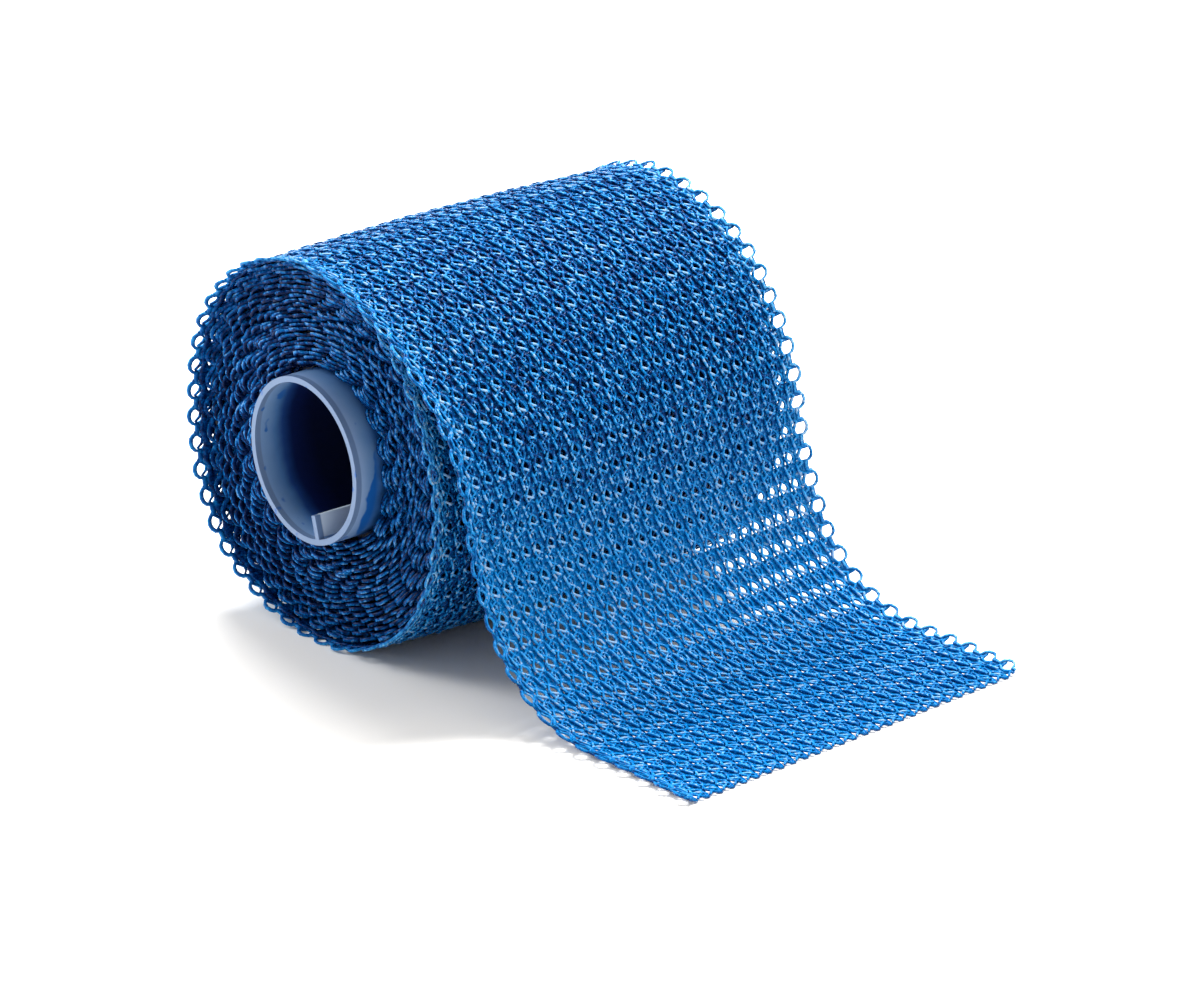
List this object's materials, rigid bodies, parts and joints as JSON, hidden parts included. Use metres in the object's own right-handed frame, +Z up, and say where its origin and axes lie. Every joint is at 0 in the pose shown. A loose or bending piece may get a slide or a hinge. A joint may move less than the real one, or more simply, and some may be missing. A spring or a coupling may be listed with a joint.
{
  "type": "fibreglass casting tape roll",
  "caption": "Roll of open-knit, resin-coated casting tape wound on a ribbed plastic core, its free end drawn off the top and laid on the surface.",
  "frame": {"origin": "on the surface the roll stands on, in the flat spot under the roll, below the middle of the core", "axes": "+Z up, +Y along the core away from the end that shows, +X the way the free end is drawn off"},
  "size_m": [0.1241, 0.0822, 0.0666],
  "materials": {
    "core_plastic": "satin, stained blue by resin at the near end",
    "casting_tape": "open glass-fibre warp knit, wet with glossy resin"
  },
  "bodies": {
    "root": {"core": "core_plastic", "wound_tape": "casting_tape", "loose_end": "casting_tape"}
  },
  "joints": []
}
